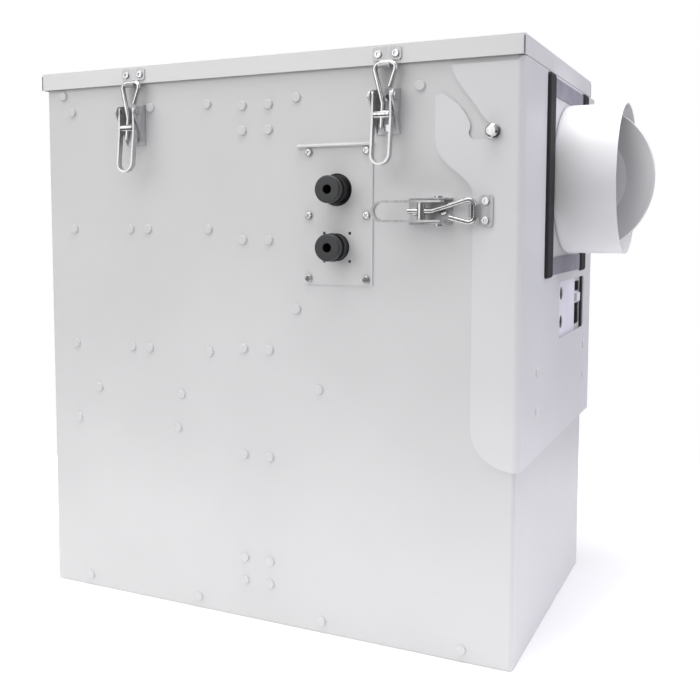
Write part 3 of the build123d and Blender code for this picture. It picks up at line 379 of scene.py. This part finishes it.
class FILTERUNIT_OT_filters(bpy.types.Operator):
    """Finish the filter frames and the folded medium, and lay the fibre mat"""

    bl_idname = "filterunit.filters"
    bl_label = "Finish filters"

    def execute(self, context):
        rims = brushed_aluminium("filter_frame_aluminium", "#B4B6B9", "#CDCFD2")
        dress(rims, ["main_filter_frame", "prefilter_frame"])
        paper = fibre_medium("folded_filter_paper", "#DDD6C4", "#EEE9DA", 1.2, 0.15)
        dress(paper, ["main_filter_pleats"])
        low, high = (Vector(corner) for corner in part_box("prefilter_mat"))
        pile = context.scene.filter_unit_sizes.mat_pile
        cuts = 48
        tuft_size = 9 * MM
        clear_selection()
        size = high - low
        scale = (size.x, size.y, size.z - 2 * pile)
        bpy.ops.mesh.primitive_cube_add(size=1, location=(low + high) / 2, scale=scale)
        mat = begin("fibre_mat")
        bpy.ops.object.transform_apply(location=True, rotation=True, scale=True)
        choose_faces(mat, lambda face: True)
        bpy.ops.mesh.subdivide(number_cuts=cuts)
        bpy.ops.object.mode_set(mode="OBJECT")
        bpy.ops.object.modifier_add(type="DISPLACE")
        tufts = bpy.data.textures.new("mat_tufts", "CLOUDS")
        tufts.noise_scale = tuft_size
        displace = mat.modifiers[-1]
        displace.texture = tufts
        displace.texture_coords = "LOCAL"
        displace.direction = "Z"
        displace.strength = pile
        displace.mid_level = 0.5
        settle(mat, fibre_medium("bonded_filter_fibre", "#CBD5DE", "#E8EDF1", 2.0, 0.5), 80)
        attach(mat, "housing")
        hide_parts("prefilter_mat")
        return {"FINISHED"}


class FILTERUNIT_OT_lid_seams(bpy.types.Operator):
    """Lay dark strips of painted shade in the open seams where the lid's folded skirts meet"""

    bl_idname = "filterunit.lid_seams"
    bl_label = "Add lid seams"

    def execute(self, context):
        low, high = (Vector(corner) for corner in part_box("lid_skin"))
        width = context.scene.filter_unit_sizes.seam_width
        clear_of_top = 2.4 * MM
        lift = 0.2 * MM
        inset = width * 0.42
        height = high.z - low.z - clear_of_top
        seams = []
        for x, inward_x in ((low.x, 1), (high.x, -1)):
            for y, inward_y in ((low.y, 1), (high.y, -1)):
                clear_selection()
                place = (x + inward_x * inset, y + inward_y * inset, low.z + height / 2 + lift)
                scale = (width, width, height)
                bpy.ops.mesh.primitive_cube_add(size=1, location=place, scale=scale)
                seam = begin("lid_seam")
                choose_faces(seam, lambda face: True)
                bpy.ops.mesh.bevel(offset=width * 0.2, segments=2)
                bpy.ops.object.mode_set(mode="OBJECT")
                seams.append(seam)
        joined = join_pieces(seams, "lid_corner_seams")
        # The strips' dark grey is painted shade: solid strips stand in the open seams, where there is
        # only shadow.
        settle(joined, moulded_rubber("seam_painted_shade", "#57585C", "#66676B"))
        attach(joined, "lid")
        return {"FINISHED"}


class FILTERUNIT_OT_connector_rings(bpy.types.Operator):
    """Add the sealing rings behind the connectors' barrels"""

    bl_idname = "filterunit.connector_rings"
    bl_label = "Add connector rings"

    def execute(self, context):
        thickness = context.scene.filter_unit_sizes.ring_thickness
        ring_radius = 13.4 * MM
        plate_thickness = 1.5 * MM
        standoff = 11.4 * MM
        ring_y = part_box("housing_wrap")[0][1] - plate_thickness - standoff
        rings = []
        for name in ("upper_cap", "lower_cap"):
            low, high = (Vector(corner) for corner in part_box(name))
            middle = (low + high) / 2
            clear_selection()
            bpy.ops.mesh.primitive_torus_add(
                location=(middle.x, ring_y, middle.z),
                rotation=(radians(90), 0, 0),
                major_radius=ring_radius,
                minor_radius=thickness / 2,
                major_segments=64,
                minor_segments=12,
            )
            ring = begin("connector_ring")
            choose_faces(ring, lambda face: face.normal.z > 0.6)
            bpy.ops.mesh.inset(thickness=0.1 * MM)
            bpy.ops.object.mode_set(mode="OBJECT")
            rings.append(ring)
        joined = join_pieces(rings, "connector_sealing_rings")
        settle(joined, moulded_rubber("ring_rubber", "#191919", "#232323"), 60)
        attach(joined, "housing")
        return {"FINISHED"}


class FILTERUNIT_OT_stage(bpy.types.Operator):
    """Set the pale floor, the soft lights and the camera"""

    bl_idname = "filterunit.stage"
    bl_label = "Set the stage"

    def execute(self, context):
        clear_selection()
        below_the_unit = (0, 0, -0.5 * MM)
        bpy.ops.mesh.primitive_circle_add(
            vertices=96, radius=0.8, fill_type="NGON", location=below_the_unit
        )
        floor = begin("studio_floor")
        floor.data.materials.append(studio_floor(tuple(context.scene.filter_unit_colours.floor)))
        add_area_light("top_light", (0.1, -0.2, 2.3), (0, 0, 0), 1.5, 38)
        add_area_light("key_light", (-1.3, -2.1, 1.5), (0, 0, 0.3), 2.6, 36)
        add_area_light("end_light", (2.5, 0.35, 1.5), (0.3, 0, 0.4), 1.7, 26, "#ECE9FF")
        world = bpy.data.worlds.new("studio_white")
        world.use_nodes = True
        tree = world.node_tree
        background = tree.nodes["Background"]
        background.inputs["Color"].default_value = linear("#FFFFFF")
        direction = add_node(tree, "ShaderNodeTexCoord").outputs["Generated"]
        upward = add_node(tree, "ShaderNodeSeparateXYZ", {"Vector": direction}).outputs["Z"]
        sky = add_node(
            tree,
            "ShaderNodeMapRange",
            {"Value": upward, "From Min": -0.25, "From Max": 0.7, "To Min": 0.16, "To Max": 0.62},
        ).outputs["Result"]
        seen = add_node(tree, "ShaderNodeLightPath").outputs["Is Camera Ray"]
        strength = add_node(tree, "ShaderNodeMapRange", {"Value": seen, "To Min": sky, "To Max": 1.0})
        tree.links.new(strength.outputs["Result"], background.inputs["Strength"])
        context.scene.world = world
        context.scene.view_settings.view_transform = "Standard"
        bpy.ops.object.camera_add(
            location=(0.44164, -1.04123, 0.42961),
            rotation=(radians(90 - 4.729), 0, radians(25.862)),
        )
        camera = bpy.context.active_object
        camera.name = "studio_camera"
        camera.data.sensor_width = 36
        camera.data.lens = 48.29
        camera.data.shift_x = 0.0465
        camera.data.shift_y = -0.0716
        camera.data.clip_start = 0.01
        context.scene.camera = camera
        return {"FINISHED"}


def add_area_light(name, place, target, size, power, colour="#FFFFFF"):
    """A square soft light that faces a point."""
    bpy.ops.object.light_add(type="AREA", location=place)
    light = bpy.context.active_object
    light.name = name
    light.data.size = size
    light.data.energy = power
    light.data.color = linear(colour)[:3]
    light.rotation_euler = (Vector(target) - Vector(place)).to_track_quat("-Z", "Y").to_euler()


STEPS = (
    FILTERUNIT_OT_stage,
    FILTERUNIT_OT_sheet_metal,
    FILTERUNIT_OT_hardware,
    FILTERUNIT_OT_rubber_and_polymer,
    FILTERUNIT_OT_filters,
    FILTERUNIT_OT_lid_seams,
    FILTERUNIT_OT_connector_rings,
)


class FILTERUNIT_PT_panel(bpy.types.Panel):
    """Lists the steps and the settings"""

    bl_idname = "FILTERUNIT_PT_panel"
    bl_label = "Filter Housing"
    bl_space_type = "VIEW_3D"
    bl_region_type = "UI"
    bl_category = "Filter Housing"

    def draw(self, context):
        for group in (context.scene.filter_unit_colours, context.scene.filter_unit_sizes):
            for name in group.bl_rna.properties.keys():
                if name not in ("rna_type", "name"):
                    self.layout.prop(group, name)
        for step in STEPS:
            self.layout.operator(step.bl_idname)


CLASSES = (HousingColours, HousingSizes, *STEPS, FILTERUNIT_PT_panel)


def register():
    for item in CLASSES:
        bpy.utils.register_class(item)
    bpy.types.Scene.filter_unit_colours = bpy.props.PointerProperty(type=HousingColours)
    bpy.types.Scene.filter_unit_sizes = bpy.props.PointerProperty(type=HousingSizes)


def unregister():
    del bpy.types.Scene.filter_unit_sizes
    del bpy.types.Scene.filter_unit_colours
    for item in reversed(CLASSES):
        bpy.utils.unregister_class(item)


def main():
    """Run every step in order."""
    register()
    for step in STEPS:
        group, name = step.bl_idname.split(".")
        getattr(getattr(bpy.ops, group), name)()


if __name__ == "__main__":
    main()
